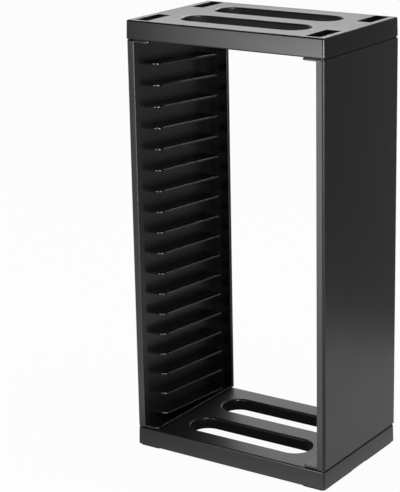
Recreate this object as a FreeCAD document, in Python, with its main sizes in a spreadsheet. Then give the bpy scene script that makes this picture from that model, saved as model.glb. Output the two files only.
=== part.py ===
import FreeCAD, Part
import math
import os
import Sketcher

# Knock-down rack for game cases that lie flat, one above the other.
# Two equal plates are joined by two ribbed side panels, whose tenons push into sockets in the plates.
# Four textured foot pads are stuck under the corners of the base plate.
# X runs to the right, Y to the rear and Z up, in millimetres and degrees.
# The origin lies under the middle of the rack, on the surface that it stands on.

# Driving sizes, written once and copied into the sheet
SIZES = {
    # Plates: base and top are the same moulding
    "rack_width": 187.0,
    "rack_depth": 119.4,
    "plate_height": 16.0,
    "plate_draft": 1.3,
    "deck_thickness": 2.5,
    "skirt_thickness": 2.5,
    "plate_corner_radius": 1.8,
    "deck_edge_radius": 1.5,
    "foot_edge_radius": 1.2,
    "slot_length": 118.0,
    "slot_width": 29.0,
    "slot_spacing": 49.5,
    "slot_rim_radius": 2.0,
    "collar_thickness": 2.0,
    "slot_collar_height": 10.0,
    "socket_width": 12.8,
    "socket_length": 32.0,
    "socket_side_margin": 6.2,
    "socket_end_margin": 4.25,
    "socket_rim_chamfer": 0.3,
    "web_thickness": 1.6,
    "web_height": 9.0,
    # Side panels
    "panel_height": 338.6,
    "panel_inset": 0.2,
    "wall_thickness": 3.0,
    "bead_thickness": 7.3,
    "bead_depth": 7.0,
    "bead_outer_radius": 2.4,
    "bead_inner_radius": 0.8,
    "flange_width": 20.9,
    "flange_corner_radius": 4.0,
    "end_flange_thickness": 1.4,
    "flange_edge_radius": 0.5,
    "rear_stop_thickness": 3.0,
    "stop_edge_radius": 0.8,
    "seat_height": 1.0,
    "seat_margin": 1.0,
    "shadow_gap_depth": 1.0,
    "tenon_height": 7.0,
    "tenon_wall": 2.0,
    "tenon_clearance": 0.15,
    "tenon_chamfer": 0.6,
    # Guide ribs of the side panels
    "rib_pitch": 18.1,
    "rib_slope": 3.6,
    "rib_thickness": 1.8,
    "rib_reach": 18.0,
    "rib_front_margin": 18.0,
    "rib_rear_margin": 13.7,
    "rib_top_margin": 21.1,
    "rib_bottom_margin": 8.0,
    "rib_front_radius": 6.0,
    "rib_rear_radius": 1.5,
    "rib_edge_radius": 0.7,
    # Foot pads
    "pad_width": 19.5,
    "pad_length": 49.0,
    "pad_thickness": 1.2,
    "pad_inset": 1.2,
    "pad_corner_radius": 3.0,
}

# Two coordinates closer than this are the same place
TOUCH = 0.01

# An edge this many times as tall as it is wide stands upright
UPRIGHT_RATIO = 5

# The largest share of a rib's or flange's thickness that its edge rounding takes
ROUNDING_SHARE = 0.45


class Size:
    """A length together with the sheet expression that gives it."""

    def __init__(self, text, value):
        self.text = text
        self.value = value

    def __add__(self, other):
        return Size(f"({self.text} + {other.text})", self.value + other.value)

    def __sub__(self, other):
        return Size(f"({self.text} - {other.text})", self.value - other.value)

    def __mul__(self, factor):
        return Size(f"({self.text} * {factor})", self.value * factor)

    def __truediv__(self, factor):
        return Size(f"({self.text} / {factor})", self.value / factor)

    def __neg__(self):
        return self * -1


ZERO = Size("0", 0.0)


def size(name):
    """Gives one driving size of the sheet."""
    return Size(f"Sizes.{name}", SIZES[name])


def smaller(first, second):
    """Gives the smaller of two sizes, as for a rounding that its wall limits."""
    return Size(f"min({first.text}; {second.text})", min(first.value, second.value))


# Places that follow from the driving sizes
half_width = size("rack_width") / 2
half_depth = size("rack_depth") / 2
hollow_side = half_width - size("skirt_thickness")
hollow_end = half_depth - size("skirt_thickness")
plate_height = size("plate_height")
deck_underside = plate_height - size("deck_thickness")
deck_middle = plate_height - size("deck_thickness") / 2
slot_end = size("slot_length") / 2
socket_outer = half_width - size("socket_side_margin")
socket_inner = socket_outer - size("socket_width")
socket_end = half_depth - size("socket_end_margin")
socket_start = socket_end - size("socket_length")
base_level = size("pad_thickness")
panel_level = base_level + plate_height
panel_height = size("panel_height")
top_level = panel_level + panel_height

# Places of the left panel, in plan and up from its own foot
panel_outer = size("panel_inset") - half_width
panel_front = size("panel_inset") - half_depth
panel_rear = half_depth - size("panel_inset")
wall_face = panel_outer + size("wall_thickness")
bead_face = panel_outer + size("bead_thickness")
bead_rear = panel_front + size("bead_depth")
flange_edge = panel_outer + size("flange_width")
flange_front = panel_front + size("bead_inner_radius")
stop_face = panel_rear - size("rear_stop_thickness")
seat_height = size("seat_height")
flange_thickness = size("end_flange_thickness")
lower_flange_top = seat_height + flange_thickness
upper_flange_underside = panel_height - lower_flange_top
rib_edge = panel_outer + size("rib_reach")
highest_rib = panel_height - size("rib_top_margin")


def bind(thing, path, length):
    """Ties one property to the sheet."""
    thing.setExpression(path, length.text)


def new_body(name, lift):
    """Starts a sub-part whose own zero height lies at the given height in the rack."""
    body = doc.addObject("PartDesign::Body", name)
    body.Label = name
    bind(body, "Placement.Base.z", lift)
    return body


def origin_element(body, role):
    """Finds one of a body's own origin planes or axes."""
    for element in body.Origin.OriginFeatures:
        if element.Role == role:
            return element
    raise LookupError(role)


def new_sketch(body, name, lift=ZERO):
    """Starts a sketch at a height above the body's own horizontal plane."""
    sketch = body.newObject("Sketcher::SketchObject", f"{body.Label}_{name}")
    sketch.AttachmentSupport = [(origin_element(body, "XY_Plane"), "")]
    sketch.MapMode = "FlatFace"
    bind(sketch, "AttachmentOffset.Base.z", lift)
    return sketch


def tie_point(sketch, element, point, x, y):
    """Ties one point of a sketch to its two distances from the origin."""
    for direction, length in (("DistanceX", x), ("DistanceY", y)):
        constraint = Sketcher.Constraint(direction, -1, 1, element, point, length.value)
        number = sketch.addConstraint(constraint)
        bind(sketch, f"Constraints[{number}]", length)


def draw_outline(sketch, corners):
    """Draws a closed outline of straight lines, with every corner tied to its sizes."""
    first = sketch.GeometryCount
    points = [FreeCAD.Vector(x.value, y.value, 0) for x, y in corners]
    for start, end in zip(points, points[1:] + points[:1]):
        sketch.addGeometry(Part.LineSegment(start, end), False)
    for index, (x, y) in enumerate(corners):
        line = first + index
        line_before = first + (index - 1) % len(corners)
        sketch.addConstraint(Sketcher.Constraint("Coincident", line_before, 2, line, 1))
        tie_point(sketch, line, 1, x, y)


def draw_rectangle(sketch, left, right, front, rear):
    """Draws a rectangle between four sides."""
    draw_outline(sketch, [(left, front), (right, front), (right, rear), (left, rear)])


def draw_obround(sketch, centre_y, length, width):
    """Draws a slot with round ends that runs along X, centred on the rack's width."""
    radius = width / 2
    reach = length / 2 - radius
    upward = FreeCAD.Vector(0, 0, 1)
    quarter = math.pi / 2
    right_centre = FreeCAD.Vector(reach.value, centre_y.value, 0)
    left_centre = FreeCAD.Vector(-reach.value, centre_y.value, 0)
    sideways = FreeCAD.Vector(0, radius.value, 0)
    right_circle = Part.Circle(right_centre, upward, radius.value)
    left_circle = Part.Circle(left_centre, upward, radius.value)
    right_arc = sketch.addGeometry(Part.ArcOfCircle(right_circle, -quarter, quarter), False)
    rear_line = sketch.addGeometry(Part.LineSegment(right_centre + sideways, left_centre + sideways), False)
    left_arc = sketch.addGeometry(Part.ArcOfCircle(left_circle, quarter, 3 * quarter), False)
    front_line = sketch.addGeometry(Part.LineSegment(left_centre - sideways, right_centre - sideways), False)
    ring = [right_arc, rear_line, left_arc, front_line]
    for element, follower in zip(ring, ring[1:] + ring[:1]):
        sketch.addConstraint(Sketcher.Constraint("Tangent", element, 2, follower, 1))
    sketch.addConstraint(Sketcher.Constraint("Equal", right_arc, left_arc))
    tie_point(sketch, right_arc, 3, reach, centre_y)
    tie_point(sketch, left_arc, 3, -reach, centre_y)
    number = sketch.addConstraint(Sketcher.Constraint("Radius", right_arc, radius.value))
    bind(sketch, f"Constraints[{number}]", radius)


def draw_slots(sketch, margin):
    """Draws the plate's two long slots, grown by a margin."""
    for place in (-size("slot_spacing") / 2, size("slot_spacing") / 2):
        draw_obround(sketch, place, size("slot_length") + margin * 2, size("slot_width") + margin * 2)


def draw_sockets(sketch, sides, margin):
    """Draws the sockets on the given sides of the rack, grown by a margin."""
    for side in sides:
        for end in (-1, 1):
            across = [(socket_inner - margin) * side, (socket_outer + margin) * side]
            along = [(socket_start - margin) * end, (socket_end + margin) * end]
            left, right = sorted(across, key=lambda place: place.value)
            front, rear = sorted(along, key=lambda place: place.value)
            draw_rectangle(sketch, left, right, front, rear)


def add_pad(body, name, sketch, height):
    """Raises a sketch into solid, upward."""
    pad = body.newObject("PartDesign::Pad", f"{body.Label}_{name}")
    pad.Profile = sketch
    bind(pad, "Length", height)
    return pad


def add_pocket(body, name, sketch, height):
    """Cuts a sketch out of the solid above it."""
    pocket = body.newObject("PartDesign::Pocket", f"{body.Label}_{name}")
    pocket.Profile = sketch
    pocket.Reversed = True
    bind(pocket, "Length", height)
    return pocket


def add_dressing(body, kind, name, base, test, length):
    """Adds a fillet or chamfer to the edges whose bounding box passes a test."""
    doc.recompute()
    edges = []
    for number, edge in enumerate(base.Shape.Edges, start=1):
        if test(edge.BoundBox):
            edges.append(f"Edge{number}")
    dressing = body.newObject(f"PartDesign::{kind}", f"{body.Label}_{name}")
    dressing.Base = (base, edges)
    bind(dressing, "Radius" if kind == "Fillet" else "Size", length)
    doc.recompute()
    return dressing


def near(value, length):
    """Says whether a coordinate lies at a size."""
    return abs(value - length.value) < TOUCH


def is_level_at(box, height):
    """Says whether an edge lies flat at a height."""
    return near(box.ZMin, height) and near(box.ZMax, height)


def is_upright(box):
    """Says whether an edge stands upright, or nearly so."""
    return box.ZLength > UPRIGHT_RATIO * max(box.XLength, box.YLength)


def least_reach(low, high):
    """Gives the smallest distance from the middle plane over an edge that doesn't cross it."""
    return min(abs(low), abs(high))


def most_reach(low, high):
    """Gives the largest distance from the middle plane over an edge."""
    return max(abs(low), abs(high))


def is_slot_rim(box):
    """Picks the edges around the long slots on the deck."""
    inside = most_reach(box.XMin, box.XMax) < slot_end.value + TOUCH
    return is_level_at(box, plate_height) and inside


def is_outer_edge(box, height):
    """Picks the edges around the outside of a plate at a height."""
    past_side = least_reach(box.XMin, box.XMax) > hollow_side.value + TOUCH
    past_end = least_reach(box.YMin, box.YMax) > hollow_end.value + TOUCH
    return is_level_at(box, height) and (past_side or past_end)


def is_socket_rim(box):
    """Picks the edges of the sockets at the deck and at the plate's foot."""
    at_rim = is_level_at(box, plate_height) or is_level_at(box, ZERO)
    past_inner = least_reach(box.XMin, box.XMax) > socket_inner.value - TOUCH
    in_outer = most_reach(box.XMin, box.XMax) < socket_outer.value + TOUCH
    past_start = least_reach(box.YMin, box.YMax) > socket_start.value - TOUCH
    in_end = most_reach(box.YMin, box.YMax) < socket_end.value + TOUCH
    return at_rim and past_inner and in_outer and past_start and in_end


def add_plate_shell(body):
    """Adds the drafted shell of a plate: deck and skirt, open below."""
    outline = new_sketch(body, "outline")
    draw_rectangle(outline, -half_width, half_width, -half_depth, half_depth)
    block = add_pad(body, "block", outline, plate_height)
    bind(block, "TaperAngle", -size("plate_draft"))
    add_dressing(body, "Fillet", "corners", block, is_upright, size("plate_corner_radius"))
    hollow_outline = new_sketch(body, "hollow_outline")
    draw_rectangle(hollow_outline, -hollow_side, hollow_side, -hollow_end, hollow_end)
    add_pocket(body, "hollow", hollow_outline, deck_underside)
    web_outline = new_sketch(body, "web_outline", deck_underside - size("web_height"))
    half_web = size("web_thickness") / 2
    draw_rectangle(web_outline, -hollow_side, hollow_side, -half_web, half_web)
    add_pad(body, "web", web_outline, size("web_height") + size("deck_thickness") / 2)


def add_plate_openings(body):
    """Adds the collars of the long slots and sockets, then cuts them through."""
    slot_collar_foot = plate_height - size("slot_collar_height")
    slot_collar_outlines = new_sketch(body, "slot_collar_outlines", slot_collar_foot)
    draw_slots(slot_collar_outlines, size("collar_thickness"))
    add_pad(body, "slot_collars", slot_collar_outlines, deck_middle - slot_collar_foot)
    socket_collar_outlines = new_sketch(body, "socket_collar_outlines")
    draw_sockets(socket_collar_outlines, (-1, 1), size("collar_thickness"))
    add_pad(body, "socket_collars", socket_collar_outlines, deck_middle)
    socket_outlines = new_sketch(body, "socket_outlines")
    draw_sockets(socket_outlines, (-1, 1), ZERO)
    add_pocket(body, "sockets", socket_outlines, plate_height)
    slot_outlines = new_sketch(body, "slot_outlines")
    draw_slots(slot_outlines, ZERO)
    return add_pocket(body, "slots", slot_outlines, plate_height)


def make_plate(name, level):
    """Makes a plate with its rounded rims and edges."""
    body = new_body(name, level)
    add_plate_shell(body)
    slots = add_plate_openings(body)
    rims = add_dressing(body, "Fillet", "slot_rims", slots, is_slot_rim, size("slot_rim_radius"))
    deck_edges = add_dressing(body, "Fillet", "deck_edges", rims,
                              lambda box: is_outer_edge(box, plate_height), size("deck_edge_radius"))
    foot_edges = add_dressing(body, "Fillet", "foot_edges", deck_edges,
                              lambda box: is_outer_edge(box, ZERO), size("foot_edge_radius"))
    add_dressing(body, "Chamfer", "socket_rims", foot_edges, is_socket_rim, size("socket_rim_chamfer"))
    return body


def is_bead_edge(box, side):
    """Picks the upright edge of the front bead on one side."""
    return is_upright(box) and near(box.XMax, side) and near(box.YMax, panel_front)


def is_stop_edge(box):
    """Picks the upright edges of the rear stop."""
    at_flange = near(box.XMax, flange_edge)
    at_outside = near(box.XMax, panel_outer) and near(box.YMax, panel_rear)
    return is_upright(box) and (at_flange or at_outside)


def add_panel_wall(body):
    """Adds the wall with its front bead and rear stop, rounded along their upright edges."""
    section = new_sketch(body, "section", seat_height)
    draw_outline(section, [
        (panel_outer, panel_front), (bead_face, panel_front),
        (bead_face, bead_rear), (wall_face, bead_rear),
        (wall_face, stop_face), (flange_edge, stop_face),
        (flange_edge, panel_rear), (panel_outer, panel_rear),
    ])
    wall = add_pad(body, "wall", section, panel_height - seat_height * 2)
    outside = add_dressing(body, "Fillet", "bead_outside", wall,
                           lambda box: is_bead_edge(box, panel_outer), size("bead_outer_radius"))
    inside = add_dressing(body, "Fillet", "bead_inside", outside,
                          lambda box: is_bead_edge(box, bead_face), size("bead_inner_radius"))
    add_dressing(body, "Fillet", "stop_edges", inside, is_stop_edge, size("stop_edge_radius"))


def add_gap_strip(body):
    """Carries the wall on to both plates, set back so that a narrow shadow gap stays open around the panel's ends."""
    gap_depth = size("shadow_gap_depth")
    outline = new_sketch(body, "gap_strip_outline")
    draw_rectangle(outline, panel_outer + gap_depth, wall_face, panel_front + gap_depth, panel_rear - gap_depth)
    add_pad(body, "gap_strip", outline, panel_height)


def is_flange_corner(box):
    """Picks the upright edges at the free front corners of the end flanges."""
    return is_upright(box) and near(box.XMax, flange_edge) and near(box.YMax, flange_front)


def is_flange_rim(box):
    """Picks the front and inner edges of the end flanges, on the side that faces the ribs."""
    at_face = is_level_at(box, lower_flange_top) or is_level_at(box, upper_flange_underside)
    at_inner = near(box.XMin, flange_edge)
    at_front = near(box.YMin, flange_front) and near(box.YMax, flange_front)
    return at_face and (at_inner or at_front)


def add_end_flanges(body):
    """Adds the flanges at the panel's foot and head, between the wall, the bead and the stop."""
    for end, level in (("lower", seat_height), ("upper", upper_flange_underside)):
        outline = new_sketch(body, f"{end}_flange_outline", level)
        draw_outline(outline, [
            (bead_face, flange_front), (flange_edge, flange_front),
            (flange_edge, stop_face), (wall_face, stop_face),
            (wall_face, bead_rear), (bead_face, bead_rear),
        ])
        flange = add_pad(body, f"{end}_flange", outline, flange_thickness)
    corners = add_dressing(body, "Fillet", "flange_corners", flange,
                           is_flange_corner, size("flange_corner_radius"))
    rounding = smaller(size("flange_edge_radius"), flange_thickness * ROUNDING_SHARE)
    add_dressing(body, "Fillet", "flange_rims", corners, is_flange_rim, rounding)


def is_tenon_tip(box):
    """Picks the outer edges at the tips of the tenons."""
    clearance = size("tenon_clearance")
    tips = (-size("tenon_height"), panel_height + size("tenon_height"))
    sides = (clearance - socket_outer, -socket_inner - clearance)
    ends = (socket_start + clearance, socket_end - clearance)
    at_tip = any(is_level_at(box, tip) for tip in tips)
    on_side = any(near(box.XMin, side) and near(box.XMax, side) for side in sides)
    on_end = any(near(abs(box.YMin), end) and near(abs(box.YMax), end) for end in ends)
    return at_tip and (on_side or on_end)


def add_tenons(body):
    """Adds the seats that rest on the plates and the hollow tenons that push into their sockets."""
    tenon_height = size("tenon_height")
    clearance = size("tenon_clearance")
    root = lower_flange_top
    for end, level in (("lower", ZERO), ("upper", upper_flange_underside)):
        seat_outlines = new_sketch(body, f"{end}_seat_outlines", level)
        draw_sockets(seat_outlines, (-1,), size("seat_margin"))
        add_pad(body, f"{end}_seats", seat_outlines, root)
    for end, level in (("lower", -tenon_height), ("upper", upper_flange_underside)):
        tenon_outlines = new_sketch(body, f"{end}_tenon_outlines", level)
        draw_sockets(tenon_outlines, (-1,), -clearance)
        add_pad(body, f"{end}_tenons", tenon_outlines, tenon_height + root)
    for end, level in (("lower", -tenon_height), ("upper", panel_height)):
        hollow_outlines = new_sketch(body, f"{end}_hollow_outlines", level)
        draw_sockets(hollow_outlines, (-1,), -clearance - size("tenon_wall"))
        hollows = add_pocket(body, f"{end}_hollows", hollow_outlines, tenon_height)
    add_dressing(body, "Chamfer", "tenon_tips", hollows, is_tenon_tip, size("tenon_chamfer"))


def is_between_flanges(box):
    """Says whether an edge lies between the panel's two end flanges."""
    above = box.ZMin > lower_flange_top.value + TOUCH
    below = box.ZMax < upper_flange_underside.value - TOUCH
    return above and below


def is_rib_corner(box, end):
    """Picks the short upright edges at the ribs' front or rear corners."""
    at_edge = near(box.XMin, rib_edge) and near(box.XMax, rib_edge)
    return is_between_flanges(box) and is_upright(box) and at_edge and box.YMin * end > 0


def is_rib_edge(box):
    """Picks the long edges of the ribs, around the front, inner and rear sides."""
    past_wall = box.XMin > wall_face.value - TOUCH and box.XMax > wall_face.value + TOUCH
    in_reach = box.XMax < rib_edge.value + TOUCH
    clear_of_bead = box.YMin > bead_rear.value + TOUCH
    clear_of_stop = box.YMax < stop_face.value - TOUCH
    in_bay = past_wall and in_reach and clear_of_bead and clear_of_stop
    return is_between_flanges(box) and in_bay and box.XLength + box.YLength > box.ZLength


def add_ribs(body):
    """Adds the guide ribs, which fall towards the rear so that the cases stay in."""
    outline = new_sketch(body, "rib_outline", highest_rib)
    tilt = FreeCAD.Rotation(FreeCAD.Vector(-1, 0, 0), SIZES["rib_slope"])
    start = FreeCAD.Vector(0, panel_front.value, highest_rib.value)
    outline.AttachmentOffset = FreeCAD.Placement(start, tilt)
    bind(outline, "AttachmentOffset.Base.y", panel_front)
    bind(outline, "AttachmentOffset.Rotation.Angle", size("rib_slope"))
    rib_rear = panel_rear - panel_front - size("rib_rear_margin")
    rib_root = wall_face - size("wall_thickness") / 2
    draw_rectangle(outline, rib_root, rib_edge, size("rib_front_margin"), rib_rear)
    rib = add_pad(body, "rib", outline, size("rib_thickness"))
    rib.Midplane = True
    doc.recompute()
    ribs = body.newObject("PartDesign::LinearPattern", f"{body.Label}_ribs")
    ribs.Originals = [rib]
    ribs.Direction = (origin_element(body, "Z_Axis"), [""])
    ribs.Reversed = True
    room = highest_rib - size("rib_bottom_margin")
    steps = f"floor({room.text} / Sizes.rib_pitch)"
    ribs.setExpression("Length", f"{steps} * Sizes.rib_pitch")
    ribs.setExpression("Occurrences", f"{steps} + 1")
    body.Tip = ribs
    return ribs


def make_left_panel(name):
    """Makes the left panel, with rounded ribs."""
    body = new_body(name, panel_level)
    add_panel_wall(body)
    add_gap_strip(body)
    add_end_flanges(body)
    add_tenons(body)
    ribs = add_ribs(body)
    front_corners = add_dressing(body, "Fillet", "rib_front_corners", ribs,
                                 lambda box: is_rib_corner(box, -1), size("rib_front_radius"))
    rear_corners = add_dressing(body, "Fillet", "rib_rear_corners", front_corners,
                                lambda box: is_rib_corner(box, 1), size("rib_rear_radius"))
    rounding = smaller(size("rib_edge_radius"), size("rib_thickness") * ROUNDING_SHARE)
    add_dressing(body, "Fillet", "rib_edges", rear_corners, is_rib_edge, rounding)
    return body


def make_right_panel(name, source):
    """Makes the right panel as the left one's mirror image."""
    panel = doc.addObject("Part::Mirroring", name)
    panel.Label = name
    panel.Source = source
    panel.Normal = FreeCAD.Vector(1, 0, 0)
    return panel


def make_pad(name, side, end):
    """Makes one foot pad under a corner of the base plate, rounded at the corners on its outer side."""
    body = new_body(name, ZERO)
    outer = (half_width - size("pad_inset")) * side
    inner = (half_width - size("pad_inset") - size("pad_width")) * side
    near_end = (half_depth - size("pad_inset")) * end
    far_end = (half_depth - size("pad_inset") - size("pad_length")) * end
    outline = new_sketch(body, "outline")
    draw_rectangle(outline, inner, outer, far_end, near_end)
    strip = add_pad(body, "strip", outline, size("pad_thickness"))
    add_dressing(body, "Fillet", "corners", strip,
                 lambda box: is_upright(box) and near(box.XMax, outer), size("pad_corner_radius"))
    return body


# The document and its sheet
doc = FreeCAD.newDocument("game_disc_rack")
sheet = doc.addObject("Spreadsheet::Sheet", "Sizes")
for row, (alias, number) in enumerate(SIZES.items(), start=1):
    sheet.set(f"A{row}", alias.replace("_", " "))
    sheet.set(f"B{row}", str(number))
    sheet.setAlias(f"B{row}", alias)
doc.recompute()

# The pieces
left_panel = make_left_panel("left_side_panel")
pieces = [
    make_plate("base_plate", base_level),
    make_plate("top_plate", top_level),
    left_panel,
    make_right_panel("right_side_panel", left_panel),
]
for end_name, end in (("front", -1), ("rear", 1)):
    for side_name, side in (("left", -1), ("right", 1)):
        pieces.append(make_pad(f"{end_name}_{side_name}_foot_pad", side, end))
doc.recompute()

# Checks before anything is written
for thing in doc.Objects:
    if "Invalid" in thing.State or "Error" in thing.State:
        raise RuntimeError(f"{thing.Name} failed to build")
for piece in pieces:
    if piece.Shape.isNull() or not piece.Shape.isValid() or len(piece.Shape.Solids) != 1:
        raise RuntimeError(f"{piece.Label} is not one valid solid")

os.makedirs("parts", exist_ok=True)
for piece in pieces:
    piece.Shape.exportStep(f"parts/{piece.Label}.step")
    print(f"{piece.Label}: {piece.Shape.Volume / 1000:.1f} cubic centimetres")
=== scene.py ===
# %% [markdown]
# # A knock-down rack for game cases
# The rack is four black mouldings that push together: a base plate, a top plate and two ribbed side panels.
# Four textured rubber pads are stuck under the base. The mouldings come from the construction model as they are,
# so this lesson gives them their finish, models the pads, and lights everything as a studio photographer would.

import math

import bpy
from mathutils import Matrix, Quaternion, Vector


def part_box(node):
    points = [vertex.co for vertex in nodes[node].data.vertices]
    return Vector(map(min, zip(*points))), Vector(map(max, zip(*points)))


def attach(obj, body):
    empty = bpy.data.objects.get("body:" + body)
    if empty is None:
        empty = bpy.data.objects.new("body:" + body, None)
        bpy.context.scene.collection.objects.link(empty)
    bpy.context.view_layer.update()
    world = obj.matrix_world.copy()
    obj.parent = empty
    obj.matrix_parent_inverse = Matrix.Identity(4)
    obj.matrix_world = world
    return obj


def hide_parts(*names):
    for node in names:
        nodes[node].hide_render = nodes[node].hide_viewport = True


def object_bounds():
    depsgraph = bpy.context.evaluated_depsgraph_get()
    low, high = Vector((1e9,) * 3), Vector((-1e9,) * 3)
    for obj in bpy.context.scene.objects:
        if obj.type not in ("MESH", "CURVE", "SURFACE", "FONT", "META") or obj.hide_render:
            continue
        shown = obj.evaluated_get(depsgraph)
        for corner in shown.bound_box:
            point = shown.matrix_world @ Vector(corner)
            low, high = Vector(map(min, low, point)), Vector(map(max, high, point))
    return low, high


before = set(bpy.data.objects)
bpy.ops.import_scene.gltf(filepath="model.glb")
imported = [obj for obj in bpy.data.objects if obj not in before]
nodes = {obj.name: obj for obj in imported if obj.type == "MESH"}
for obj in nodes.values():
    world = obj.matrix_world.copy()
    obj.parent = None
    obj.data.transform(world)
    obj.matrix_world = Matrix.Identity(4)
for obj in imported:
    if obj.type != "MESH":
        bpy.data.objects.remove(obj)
cad_low, cad_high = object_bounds()
scene = bpy.context.scene
MM = 0.001
print("nodes:", ", ".join(sorted(nodes)))
print("size in mm:", [round(length / MM, 1) for length in cad_high - cad_low])

# %% [markdown]
# ## The camera
# A camera can be placed by eye, or worked out from straight edges of the rack that can be measured in the picture.
# The second way was used: the corners of the plates fix the direction, distance and focal length together.
# The photograph was cropped out of a larger one, so the lens axis doesn't meet the middle of the frame.
# Blender's lens shift moves the frame sideways in the same way, without turning the camera.

# %% Camera
PICTURE_WIDTH = 400
PICTURE_HEIGHT = 492
LENS_AXIS_PIXEL = Vector((259.3, 201.2))
FOCAL_PIXELS = 1685.6
CAMERA_AZIMUTH = math.radians(32.743)
CAMERA_ELEVATION = math.radians(15.279)
CAMERA_ROLL = math.radians(-0.640)
CAMERA_DISTANCE = 1408.9 * MM
CAMERA_AIM = Vector((-4.47, 0.0, 217.38)) * MM


def make_camera():
    """Stands the camera where the photograph was taken from."""
    camera_data = bpy.data.cameras.new("camera")
    camera = bpy.data.objects.new("camera", camera_data)
    scene.collection.objects.link(camera)
    level = math.cos(CAMERA_ELEVATION)
    backward = Vector((
        math.sin(CAMERA_AZIMUTH) * level,
        -math.cos(CAMERA_AZIMUTH) * level,
        math.sin(CAMERA_ELEVATION),
    ))
    camera.location = CAMERA_AIM + backward * CAMERA_DISTANCE
    camera.rotation_mode = "QUATERNION"
    roll = Quaternion((0, 0, 1), CAMERA_ROLL)
    camera.rotation_quaternion = backward.to_track_quat("Z", "Y") @ roll
    camera_data.lens = camera_data.sensor_width * FOCAL_PIXELS / PICTURE_HEIGHT
    camera_data.shift_x = (PICTURE_WIDTH / 2 - LENS_AXIS_PIXEL.x) / PICTURE_HEIGHT
    camera_data.shift_y = (LENS_AXIS_PIXEL.y - PICTURE_HEIGHT / 2) / PICTURE_HEIGHT
    scene.camera = camera
    return camera


camera = make_camera()
scene.view_settings.view_transform = "Standard"
print("lens in mm:", round(camera.data.lens, 1), "eye in mm:", [round(v / MM) for v in camera.location])

# %% [markdown]
# ## Writing node trees as sums
# Finishes, the world and the pads are all node trees. Adding and linking every node by hand hides the idea behind
# a tree, so two small classes do it. A Signal wraps one output socket and takes part in ordinary sums, and each
# sum adds a Math node. A Tree has a method that adds any other node, first its settings and then its sockets,
# and three short ones for what comes up often: a place on the object, a mix of two colours, and a join of shapes.

# %% Signals and trees
class Signal:
    """An output socket that can be used in sums, as in 1 - mask * 0.5."""

    def __init__(self, tree, socket):
        self.tree = tree
        self.socket = socket

    def output(self, name):
        """Gives another output of the same node."""
        return Signal(self.tree, self.socket.node.outputs[name])

    def math(self, operation, *values, clamp=False):
        """Adds a Math node whose inputs are the given values, in order."""
        settings = {"operation": operation, "use_clamp": clamp}
        return self.tree.add("ShaderNodeMath", settings, dict(enumerate(values)))

    def __add__(self, other):
        return self.math("ADD", self, other)

    def __radd__(self, other):
        return self.math("ADD", other, self)

    def __sub__(self, other):
        return self.math("SUBTRACT", self, other)

    def __rsub__(self, other):
        return self.math("SUBTRACT", other, self)

    def __mul__(self, other):
        return self.math("MULTIPLY", self, other)

    def __truediv__(self, other):
        return self.math("DIVIDE", self, other)

    def __neg__(self):
        return self.math("MULTIPLY", self, -1.0)

    def __abs__(self):
        return self.math("ABSOLUTE", self)

    def clamped(self):
        """Keeps the value between 0 and 1."""
        return self.math("ADD", self, 0.0, clamp=True)

    def larger(self, other):
        """Gives the larger of two values."""
        return self.math("MAXIMUM", self, other)

    def above(self, limit):
        """Is 1 where the value is above a limit, and otherwise 0."""
        return self.math("GREATER_THAN", self, limit)


class Tree:
    """A node tree that is built from nothing."""

    def __init__(self, node_tree):
        self.node_tree = node_tree
        self.node_tree.nodes.clear()

    def add(self, kind, settings=None, sockets=None):
        """Adds a node, makes its settings, fills or links its sockets, and gives its first output."""
        node = self.node_tree.nodes.new(kind)
        for name, value in (settings or {}).items():
            setattr(node, name, value)
        for name, value in (sockets or {}).items():
            if isinstance(value, Signal):
                self.node_tree.links.new(value.socket, node.inputs[name])
            else:
                node.inputs[name].default_value = value
        return Signal(self, node.outputs[0]) if node.outputs else None

    def add_place(self):
        """Gives X, Y and Z of a place on the object."""
        place = self.add("ShaderNodeTexCoord").output("Object")
        split = self.add("ShaderNodeSeparateXYZ", sockets={"Vector": place})
        return [split.output(name) for name in "XYZ"]

    def add_mixed(self, share, first, second):
        """Goes from one colour to another as the share rises from 0 to 1."""
        mixed = self.add("ShaderNodeMix", {"data_type": "RGBA"}, {"Factor": share, "A": first, "B": second})
        # The node has a result for each type of value, and the third is the colour
        return mixed.output(2)

    def add_joined(self, parts):
        """Joins several pieces of geometry into one."""
        joined = self.add("GeometryNodeJoinGeometry")
        for part in reversed(parts):
            self.node_tree.links.new(part.socket, joined.socket.node.inputs["Geometry"])
        return joined


def new_material(name):
    """Starts an empty material and gives it with its tree."""
    material = bpy.data.materials.new(name)
    material.use_nodes = True
    return material, Tree(material.node_tree)


print("operators:", [name for name in vars(Signal) if name.endswith(("add__", "sub__", "mul__", "div__"))])

# %% [markdown]
# ## A white room
# The rack was photographed on white. A black glossy moulding has almost no colour of its own: what the eye sees
# on it is the room, mirrored. So the white around the rack is as much a part of its look as its own finish.
# The world is white where the camera or a reflection looks at it, and a calmer grey where it only lights things.

# %% World
WHITE = (1, 1, 1, 1)
ROOM_LIGHT = 0.45


def seen_rays(tree, mirror_share):
    """Is 1 where the camera looks straight at a surface, a share of that in a reflection, and otherwise 0."""
    path = tree.add("ShaderNodeLightPath")
    mirrored = path.output("Is Glossy Ray") + path.output("Is Transmission Ray")
    return (path.output("Is Camera Ray") + mirrored * mirror_share).clamped()


def make_world():
    """Makes the white surroundings."""
    world = bpy.data.worlds.new("white_room")
    world.use_nodes = True
    tree = Tree(world.node_tree)
    calm = tree.add("ShaderNodeBackground", sockets={"Color": WHITE, "Strength": ROOM_LIGHT})
    white = tree.add("ShaderNodeBackground", sockets={"Color": WHITE, "Strength": 1.0})
    room = tree.add("ShaderNodeMixShader", sockets={0: seen_rays(tree, 1.0), 1: calm, 2: white})
    tree.add("ShaderNodeOutputWorld", sockets={"Surface": room})
    scene.world = world


make_world()
print("room light:", ROOM_LIGHT)

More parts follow.
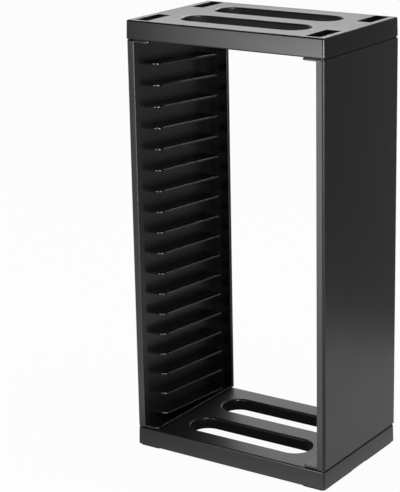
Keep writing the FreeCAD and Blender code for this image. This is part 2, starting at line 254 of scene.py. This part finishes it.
# %% [markdown]
# ## The floor
# A floor that is only white paint would render grey wherever the lamps are weak. A floor that only glows would
# have no shadow, and the rack would float. This one is a mix: most of its white is its own, and the rest is lit
# paint, which is where the rack's soft shadow shows.

# %% Floor
FLOOR_REACH = 6.0
FLOOR_GLOW = 0.95
MIRRORED_GLOW_SHARE = 0.65
FLOOR_PAINT = (0.9, 0.9, 0.9, 1)


def lying(left, right, front, rear, height):
    """Gives the corners of a level sheet."""
    return [(left, front, height), (right, front, height), (right, rear, height), (left, rear, height)]


def make_sheet(name, corners, material):
    """Makes a plain sheet with four corners."""
    mesh = bpy.data.meshes.new(name)
    mesh.from_pydata(corners, [], [(0, 1, 2, 3)])
    mesh.materials.append(material)
    sheet = bpy.data.objects.new(name, mesh)
    scene.collection.objects.link(sheet)
    return sheet


def make_floor():
    """Lays a large white floor under the rack."""
    material, tree = new_material("white_floor")
    paint = tree.add("ShaderNodeBsdfDiffuse", sockets={"Color": FLOOR_PAINT})
    glow = tree.add("ShaderNodeEmission", sockets={"Color": WHITE, "Strength": 1.0})
    share = seen_rays(tree, MIRRORED_GLOW_SHARE) * FLOOR_GLOW
    surface = tree.add("ShaderNodeMixShader", sockets={0: share, 1: paint, 2: glow})
    tree.add("ShaderNodeOutputMaterial", sockets={"Surface": surface})
    corners = lying(-FLOOR_REACH, FLOOR_REACH, -FLOOR_REACH, FLOOR_REACH, 0)
    floor = make_sheet("floor", corners, material)


make_floor()
print("floor across in m:", 2 * FLOOR_REACH)

# %% [markdown]
# ## The lamp
# One large soft box overhead gives the even light and the rack's soft shadow on the floor. The decks would mirror
# it as a pale patch that the photograph doesn't have, so reflections don't see it.

# %% Soft box
RACK_MIDDLE = (cad_low + cad_high) / 2
LAMP_PLACE = Vector((0.2, -0.1, 1.9))
LAMP_SIDE = 1.4
LAMP_RADIANCE = 2.2


def make_soft_box(name):
    """Hangs a square lamp over the rack and turns it towards the rack's middle."""
    lamp = bpy.data.lights.new(name, "AREA")
    lamp.shape = "SQUARE"
    lamp.size = LAMP_SIDE
    # An even area lamp's power is its radiance times pi times its area
    lamp.energy = LAMP_RADIANCE * math.pi * LAMP_SIDE * LAMP_SIDE
    box = bpy.data.objects.new(name, lamp)
    scene.collection.objects.link(box)
    box.location = LAMP_PLACE
    box.rotation_mode = "QUATERNION"
    box.rotation_quaternion = (RACK_MIDDLE - LAMP_PLACE).to_track_quat("-Z", "Y")
    box.visible_camera = False
    box.visible_glossy = False
    return box


overhead = make_soft_box("overhead_box")
print("soft box in W:", round(overhead.data.energy, 1))

# %% [markdown]
# ## Cards
# A glossy black face shows little but what stands around it, so photographers build those surroundings out of
# cards: white ones for a bright face or a bright line along an edge, dark ones, called flags, for a dark face.
# Real cards would also light the floor and each other. These are plain sheets that only reflections see.
# A card may fade from one end to the other, which gives a face its even change from dark to light. The front card
# is made in bands, because the upright faces look into it higher or lower, and cards that lie on the floor go on
# with it. A flag beside the base keeps the low bright card on the right from glaring in the base's deck when the
# rack is seen from behind.

# %% Cards
OVER_FLOOR = 0.001
# The front card stands in this plane, in m, and fades to the left of this line
FRONT_PLANE = -0.45
FRONT_SPLIT = -0.12
# Each band of the front card has its foot, head and left end in m, its glow there and its glow on the right
FRONT_BANDS = (
    (0.0, 0.1, -0.31, 0.0, 4.5),
    (0.1, 0.28, -0.31, 0.0, 6.2),
    (0.28, 0.42, -0.36, 1.4, 6.5),
)


def standing(start, end, foot, head):
    """Gives the corners of a sheet that stands over the line from one floor point to another."""
    return [(*start, foot), (*end, foot), (*end, head), (*start, head)]


def front_cards():
    """Gives the rows of the front card, whose bands fade on the left and are even on the right."""
    rows = []
    for foot, head, left, left_glow, glow in FRONT_BANDS:
        fading = standing((left, FRONT_PLANE), (FRONT_SPLIT, FRONT_PLANE), foot, head)
        even = standing((FRONT_SPLIT, FRONT_PLANE), (0.0, FRONT_PLANE), foot, head)
        rows.append((f"front_left_{head}_card", fading, left_glow, glow))
        rows.append((f"front_{head}_card", even, glow, glow))
    return rows


# Each card has its name, its corners in m, and its glow on the side of its first corner and of its second
CARDS = (
    ("ceiling_flag", lying(-2.6, 2.6, -1.75, 2.4, 2.2), 0.06, 0.06),
    ("rear_flag", standing((0.20, 0.28), (1.60, 0.22), 0.0, 1.2), 0.19, 0.19),
    ("inner_flag", standing((0.0, 0.32), (0.20, 0.30), 0.0, 1.2), 0.30, 0.30),
    ("inner_floor_flag", lying(-0.09, 0.09, 0.065, 0.32, OVER_FLOOR), 0.35, 0.35),
    ("front_flag", standing((-1.9, -1.75), (1.9, -1.75), 0.0, 3.0), 0.08, 0.08),
    ("camera_side_flag", standing((0.12, -0.95), (0.62, -0.78), 0.0, 0.5), 0.08, 0.08),
    *front_cards(),
    ("base_flag", standing((0.15, -0.16), (0.16, 0.0), 0.0, 0.06), 0.60, 0.60),
    ("floor_left_card", lying(-0.30, -0.03, -0.44, -0.12, OVER_FLOOR), 0.95, 2.1),
    ("floor_right_card", lying(-0.03, 0.10, -0.44, -0.12, OVER_FLOOR), 2.1, 1.6),
    ("base_floor_card", lying(-0.12, 0.10, -0.12, -0.06, OVER_FLOOR), 0.75, 1.5),
    ("camera_high_card", standing((0.50, -0.95), (0.85, -0.75), 1.2, 1.6), 60.0, 60.0),
    ("low_right_card", standing((0.84, -0.86), (1.14, -0.37), 0.08, 0.35), 26.0, 26.0),
    ("lower_rear_card", standing((-0.74, 0.25), (0.11, 0.77), 0.0, 0.36), 1.25, 1.25),
    ("upper_rear_card", standing((-0.74, 0.25), (0.11, 0.77), 0.36, 0.62), 0.72, 0.72),
    ("rear_bank", standing((-1.6, 1.5), (0.5, 1.9), 1.20, 1.9), 8.0, 8.0),
)


def make_card(name, corners, start_glow, end_glow):
    """Makes a sheet whose glow changes evenly from its first corner's side to its second's."""
    material, tree = new_material(name)
    x, y, _ = tree.add_place()
    start = Vector(corners[0])
    run = Vector(corners[1]) - start
    along = ((x - start.x) * run.x + (y - start.y) * run.y) / run.length_squared
    brightest = max(start_glow, end_glow)
    greys = [(glow / brightest, glow / brightest, glow / brightest, 1) for glow in (start_glow, end_glow)]
    colour = tree.add_mixed(along.clamped(), *greys)
    light = tree.add("ShaderNodeEmission", sockets={"Color": colour, "Strength": brightest})
    tree.add("ShaderNodeOutputMaterial", sockets={"Surface": light})
    card = make_sheet(name, corners, material)
    card.visible_camera = False
    card.visible_diffuse = False
    card.visible_shadow = False
    card.visible_transmission = False


for row in CARDS:
    make_card(*row)
print("cards:", [row[0] for row in CARDS])

# %% [markdown]
# ## Where a finish changes
# A finish that is the same all over looks like paint. What makes a moulding believable is where its finish
# changes, and those places can be worked out from its shape: close to the sides of its box, on the tips of its
# ribs, on level faces, and inside a shell. Some of these places get painted light: a painted highlight along the
# edges, and painted shade inside a plate's shell, on its lower rims and on a panel's upright corners. Each mask
# below is a sum that is 1 in such a place and fades to 0 around it. Lengths in it are real ones, so the wear and
# painted highlight along an edge stay as narrow as they would be on the rack.

# %% Masks
EDGE_WIDTH = 1.6 * MM
# Cases rub a panel from this far inside its outer side, and from this far below its top
RUBBED_FROM = 10 * MM
RUBBED_BELOW_TOP = 12 * MM
RUBBED_FADE = 4 * MM
# A face starts to count as level at this upward or downward tilt, and as a lower rim with painted shade at this
# downward one
LEVEL_FROM = 0.75
LEVEL_FADE = 0.25
RIM_FROM = 0.1
RIM_FADE = 1 / 3
# Painted shade dims a panel's upright corners where the closeness to two sides, multiplied together, is above this
CORNER_SHADE_FROM = 0.15
CORNER_SHADE_FADE = 0.2


def ramp(value, start, width):
    """Rises evenly from 0 at the start to 1 a width further on."""
    return ((value - start) / width).clamped()


def closeness(distance, width):
    """Is 1 at no distance and falls to 0 at the width."""
    return (1 - distance / width).clamped()


def side_closeness(tree, low, high):
    """Gives, for X, Y and Z, how close a place is to the two sides of a box, and then to its top."""
    place = tree.add_place()
    near = []
    for axis in range(3):
        middle = (low[axis] + high[axis]) / 2
        half = (high[axis] - low[axis]) / 2
        near.append(closeness(half - abs(place[axis] - middle), EDGE_WIDTH))
    near.append(closeness(high.z - place[2], EDGE_WIDTH))
    return near


def upward_tilt(tree):
    """Is 1 on faces that point up, 0 on upright ones and -1 on those that point down."""
    normal = tree.add("ShaderNodeNewGeometry").output("Normal")
    return tree.add("ShaderNodeSeparateXYZ", sockets={"Vector": normal}).output("Z")


def rubbed_share(tree, low, high):
    """Is 1 on the tips of a panel's ribs, which cases rub as they slide in, and 0 near its wall and its top."""
    x, _, z = tree.add_place()
    outer_side = max(abs(low.x), abs(high.x))
    off_wall = ramp(outer_side - abs(x), RUBBED_FROM, RUBBED_FADE)
    off_top = ramp(high.z - z, RUBBED_BELOW_TOP, RUBBED_FADE)
    return off_wall * off_top


def painted_shell_shade(near_x, near_y, near_top, tilt):
    """Is 1 where a plate gets painted shade, inside its shell and on its lower rims, and 0 on its outer side."""
    painted_rim_shade = ramp(-tilt, RIM_FROM, RIM_FADE)
    return ((1 - near_x) * (1 - near_y) * (1 - near_top)).larger(painted_rim_shade)


masks = (side_closeness, upward_tilt, rubbed_share, painted_shell_shade)
print("masks:", [mask.__name__ for mask in masks])

# %% [markdown]
# ## Black moulded plastic
# The mouldings are a black styrene plastic out of a steel mould with a fine spark-eroded grain. Its colour hardly
# changes, so its detail is in how it shines: a fine grain in the surface and a faint cloudiness from handling.
# Rubbing leaves the outer edges a little glossier, and their colour a little paler, which is partly wear and partly
# a painted highlight. Cases slide over the tips of the ribs and leave them glossier. Inside the plates, on their
# lower rims and on the panels' upright corners, a darker and weakly mirroring matt shader is painted shade.
# So each finish mixes a satin shader and that painted shade.

# %% Plastic finish
PLASTIC_BLACK = (0.0042, 0.0042, 0.0046, 1)
# Paler colour along the outer edges, partly wear and partly a painted highlight
PLASTIC_WORN_HIGHLIT = (0.009, 0.009, 0.0095, 1)
REFRACTION = 1.5
PLATE_ROUGHNESS = 0.22
PANEL_ROUGHNESS = 0.34
DECK_ROUGHNESS = 0.38
GRAIN_SIZE = 0.45 * MM
GRAIN_DEPTH = 0.004 * MM
CLOUD_SIZE = 45 * MM
CLOUD_ROUGHNESS = 0.08
NOISE_MIDDLE = 0.5
# How strongly the outer edges take the paler colour, partly wear and partly a painted highlight, and how much
# glossier rubbing leaves them
WEAR_AND_HIGHLIGHT_LEAST = 0.35
WEAR_AND_HIGHLIGHT_CLOUDED = 0.5
WEAR_GLOSS = 0.04
RUBBED_GLOSS = 0.16
# Share of the painted shade on a panel's upright corners
CORNER_SHADE_SHARE = 0.7
# The matt shader's colour, darker than the plastic, is painted shade
PAINTED_SHADE_BLACK = (0.003, 0.003, 0.003, 1)
MATT_ROUGHNESS = 0.55
# How strongly each moulding's matt shader, which paints shade, still mirrors
MATT_SHINE = {"base_plate": 0.06, "top_plate": 0.26, "left_side_panel": 0.06, "right_side_panel": 0.06}


def noise(tree, size, detail):
    """Gives a noise of a real size."""
    place = tree.add("ShaderNodeTexCoord").output("Object")
    return tree.add("ShaderNodeTexNoise", sockets={"Vector": place, "Scale": 1 / size, "Detail": detail})


def add_grained(tree, colour, roughness, grain, depth):
    """Adds a shader whose surface is raised a little by a grain."""
    bump = tree.add("ShaderNodeBump", sockets={"Height": grain, "Distance": depth, "Strength": 1.0})
    return tree.add("ShaderNodeBsdfPrincipled", sockets={
        "Base Color": colour, "Roughness": roughness, "IOR": REFRACTION, "Normal": bump})


def make_plastic(node_name, side_roughness):
    """Makes one moulding's finish: satin, paler along its outer edges from wear and a painted highlight, and
    painted shade from a darker matt shader.
    """
    material, tree = new_material(f"{node_name}_plastic")
    near_x, near_y, near_z, near_top = side_closeness(tree, *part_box(node_name))
    edges = (near_x * near_y).larger(near_y * near_z).larger(near_x * near_z)
    clouds = noise(tree, CLOUD_SIZE, detail=3.0)
    # Paler colour along the outer edges: partly wear, partly a painted highlight
    wear_and_highlight = edges * (WEAR_AND_HIGHLIGHT_LEAST + clouds * WEAR_AND_HIGHLIGHT_CLOUDED)
    colour = tree.add_mixed(wear_and_highlight.clamped(), PLASTIC_BLACK, PLASTIC_WORN_HIGHLIT)
    tilt = upward_tilt(tree)
    level_share = ramp(abs(tilt), LEVEL_FROM, LEVEL_FADE)
    roughness = side_roughness + level_share * (DECK_ROUGHNESS - side_roughness)
    roughness = roughness + (clouds - NOISE_MIDDLE) * CLOUD_ROUGHNESS - wear_and_highlight * WEAR_GLOSS
    if node_name.endswith("panel"):
        roughness = roughness - rubbed_share(tree, *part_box(node_name)) * RUBBED_GLOSS
        # Painted shade dims a panel's upright corners
        painted_shade_share = ramp(near_x * near_y, CORNER_SHADE_FROM, CORNER_SHADE_FADE) * CORNER_SHADE_SHARE
    else:
        # Painted shade darkens a plate's shell and lower rims
        painted_shade_share = painted_shell_shade(near_x, near_y, near_top, tilt)
    satin = add_grained(tree, colour, roughness, noise(tree, GRAIN_SIZE, detail=1.0), GRAIN_DEPTH)
    # The matt shader's dark colour and weak mirror are the painted shade
    matt = tree.add("ShaderNodeBsdfPrincipled", sockets={
        "Base Color": PAINTED_SHADE_BLACK, "Roughness": MATT_ROUGHNESS, "Specular IOR Level": MATT_SHINE[node_name]})
    both = tree.add("ShaderNodeMixShader", sockets={0: painted_shade_share, 1: satin, 2: matt})
    tree.add("ShaderNodeOutputMaterial", sockets={"Surface": both})
    return material


for node_name in MATT_SHINE:
    roughness = PANEL_ROUGHNESS if node_name.endswith("panel") else PLATE_ROUGHNESS
    nodes[node_name].data.materials[0] = make_plastic(node_name, roughness)
print("plastic on:", [name for name in nodes if nodes[name].data.materials[0].name.endswith("plastic")])

# %% [markdown]
# ## Rubber
# The pads are a soft black rubber. It has no gloss to speak of, but a fine uneven skin that a bump can carry,
# and it picks up a little pale dust in patches, so two noises of different size change its colour and roughness.

# %% Rubber finish
RUBBER_BLACK = (0.010, 0.010, 0.011, 1)
RUBBER_DUSTY = (0.030, 0.030, 0.031, 1)
RUBBER_ROUGHNESS = 0.62
SKIN_SIZE = 0.25 * MM
SKIN_DEPTH = 0.02 * MM
SKIN_ROUGHNESS = 0.2
DUST_SIZE = 9 * MM
DUST_ROUGHNESS = 0.15


def make_rubber(name):
    """Makes a matt rubber with a fine skin and faint dust in patches."""
    material, tree = new_material(name)
    skin = noise(tree, SKIN_SIZE, detail=2.0)
    dust = noise(tree, DUST_SIZE, detail=3.0)
    colour = tree.add_mixed(dust * skin, RUBBER_BLACK, RUBBER_DUSTY)
    uneven = (skin - NOISE_MIDDLE) * SKIN_ROUGHNESS + (dust - NOISE_MIDDLE) * DUST_ROUGHNESS
    shader = add_grained(tree, colour, RUBBER_ROUGHNESS + uneven, skin, SKIN_DEPTH)
    tree.add("ShaderNodeOutputMaterial", sockets={"Surface": shader})
    return material


rubber = make_rubber("rubber_skin")
print("rubber nodes:", len(rubber.node_tree.nodes))

# %% [markdown]
# ## The pads' diamonds
# Four strips of that rubber stick under the corners of the base. Their lower side is covered with small raised
# diamonds that grip the table. Modelling some three hundred diamonds by hand would take long and be hard to
# change, and a bump pattern would leave the mesh flat. Geometry Nodes lay one diamond on two grids of points,
# half a step apart, and join them to a slab whose outer corners are rounded.

# %% Pad tree
PAD_INPUTS = ("Width", "Length", "Thickness", "Outer side", "Corner radius", "Diamond pitch", "Diamond height")
CORNER_STEPS = 8
WELD_DISTANCE = 0.001 * MM
DIAMOND_ROWS = 4
DIAMOND_COLUMNS = 12
# How deep a diamond is sunk into the slab, and its radii there and at its tip as shares of the pitch
DIAMOND_SINK = 0.05 * MM
DIAMOND_FOOT_SHARE = 0.46
DIAMOND_TIP_SHARE = 0.2


def start_pad_tree():
    """Starts the tree with its named inputs, and gives it with their signals."""
    group = bpy.data.node_groups.new("diamond_pad", "GeometryNodeTree")
    tree = Tree(group)
    group.interface.new_socket("Geometry", in_out="OUTPUT", socket_type="NodeSocketGeometry")
    group.interface.new_socket("Place", in_out="INPUT", socket_type="NodeSocketVector")
    for name in PAD_INPUTS:
        group.interface.new_socket(name, in_out="INPUT", socket_type="NodeSocketFloat")
    first = tree.add("NodeGroupInput")
    return group, tree, {name: first.output(name) for name in ("Place", *PAD_INPUTS)}


def add_slab(tree, size):
    """Adds the slab, above the diamonds, with its two outer corners rounded."""
    outline = tree.add("GeometryNodeCurvePrimitiveQuadrilateral", sockets={
        "Width": size["Width"], "Height": size["Length"]})
    across = tree.add("ShaderNodeSeparateXYZ", sockets={"Vector": tree.add("GeometryNodeInputPosition")})
    radius = (across * size["Outer side"]).above(0.0) * size["Corner radius"]
    rounded = tree.add("GeometryNodeFilletCurve", {"mode": "POLY"}, {
        "Curve": outline, "Count": CORNER_STEPS, "Radius": radius, "Limit Radius": True})
    face = tree.add("GeometryNodeFillCurve", {"mode": "NGONS"}, {"Curve": rounded})
    height = size["Thickness"] - size["Diamond height"]
    raised = tree.add("GeometryNodeExtrudeMesh", {"mode": "FACES"}, {
        "Mesh": face, "Offset Scale": height, "Individual": False})
    underside = tree.add("GeometryNodeFlipFaces", sockets={"Mesh": face})
    both = tree.add_joined([raised, underside])
    closed = tree.add("GeometryNodeMergeByDistance", sockets={"Geometry": both, "Distance": WELD_DISTANCE})
    lift = tree.add("ShaderNodeCombineXYZ", sockets={"Z": size["Diamond height"]})
    return tree.add("GeometryNodeTransform", sockets={"Geometry": closed, "Translation": lift})


def add_diamonds(tree, size, rows, columns):
    """Adds one grid of diamonds that point down from the slab to the table."""
    pitch = size["Diamond pitch"]
    depth = size["Diamond height"] + DIAMOND_SINK
    cone = tree.add("GeometryNodeMeshCone", {"fill_type": "NGON"}, {
        "Vertices": 4, "Radius Bottom": pitch * DIAMOND_FOOT_SHARE,
        "Radius Top": pitch * DIAMOND_TIP_SHARE, "Depth": depth})
    lift = tree.add("ShaderNodeCombineXYZ", sockets={"Z": depth})
    hanging = tree.add("GeometryNodeTransform", sockets={
        "Geometry": cone, "Rotation": (math.pi, 0, 0), "Translation": lift})
    grid = tree.add("GeometryNodeMeshGrid", sockets={
        "Size X": pitch * (rows - 1), "Size Y": pitch * (columns - 1),
        "Vertices X": rows, "Vertices Y": columns})
    return tree.add("GeometryNodeInstanceOnPoints", sockets={"Points": grid, "Instance": hanging})


def make_pad_tree():
    """Builds the whole pad: slab, two grids of diamonds, place and finish."""
    group, tree, size = start_pad_tree()
    main_grid = add_diamonds(tree, size, DIAMOND_ROWS, DIAMOND_COLUMNS)
    between_grid = add_diamonds(tree, size, DIAMOND_ROWS - 1, DIAMOND_COLUMNS - 1)
    whole = tree.add_joined([add_slab(tree, size), main_grid, between_grid])
    placed = tree.add("GeometryNodeTransform", sockets={"Geometry": whole, "Translation": size["Place"]})
    real = tree.add("GeometryNodeRealizeInstances", sockets={"Geometry": placed})
    finished = tree.add("GeometryNodeSetMaterial", sockets={"Geometry": real, "Material": rubber})
    tree.add("NodeGroupOutput", sockets={"Geometry": finished})
    return group


pad_tree = make_pad_tree()
print("pad tree nodes:", len(pad_tree.nodes))

# %% [markdown]
# ## Four pads from one tree
# The pads are alike but for their place and the side that their rounded corners face. Each one takes its size and
# place from the solid that it stands for, so it fits under the base without any measuring by hand. The tree's
# result becomes a plain mesh, which can be exported, and it rides on the base.

# %% Pads
PAD_CORNER_RADIUS = 3.0 * MM
DIAMOND_PITCH = 3.6 * MM
DIAMOND_HEIGHT = 0.4 * MM


def pad_values(low, high):
    """Gives the tree's inputs for a pad that fills a box."""
    middle = (low + high) / 2
    return {
        "Place": (middle.x, middle.y, low.z),
        "Width": high.x - low.x,
        "Length": high.y - low.y,
        "Thickness": high.z - low.z,
        "Outer side": math.copysign(1.0, middle.x),
        "Corner radius": PAD_CORNER_RADIUS,
        "Diamond pitch": DIAMOND_PITCH,
        "Diamond height": DIAMOND_HEIGHT,
    }


def make_pad_mesh(values):
    """Runs the pad tree with its inputs and gives the result as a plain mesh."""
    maker = bpy.data.objects.new("pad_maker", bpy.data.meshes.new("empty"))
    scene.collection.objects.link(maker)
    modifier = maker.modifiers.new("pad", "NODES")
    modifier.node_group = pad_tree
    for item in pad_tree.interface.items_tree:
        if item.in_out == "INPUT":
            modifier[item.identifier] = values[item.name]
    evaluated = maker.evaluated_get(bpy.context.evaluated_depsgraph_get())
    mesh = bpy.data.meshes.new_from_object(evaluated)
    bpy.data.objects.remove(maker)
    # The cone and grid nodes bring an empty material slot
    mesh.materials.pop(index=0)
    return mesh


def make_pad(node_name):
    """Makes the pad that stands for one node, in its place."""
    low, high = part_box(node_name)
    mesh = make_pad_mesh(pad_values(low, high))
    pad = bpy.data.objects.new(node_name.replace("foot_pad", "diamond_pad"), mesh)
    scene.collection.objects.link(pad)
    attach(pad, "base")
    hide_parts(node_name)
    return pad


for node_name in sorted(name for name in nodes if name.endswith("foot_pad")):
    pad = make_pad(node_name)
    print(pad.name, "faces:", len(pad.data.polygons), "materials:", [slot.name for slot in pad.data.materials])

# %% [markdown]
# ## Size
# Dressing the rack must not change its size.
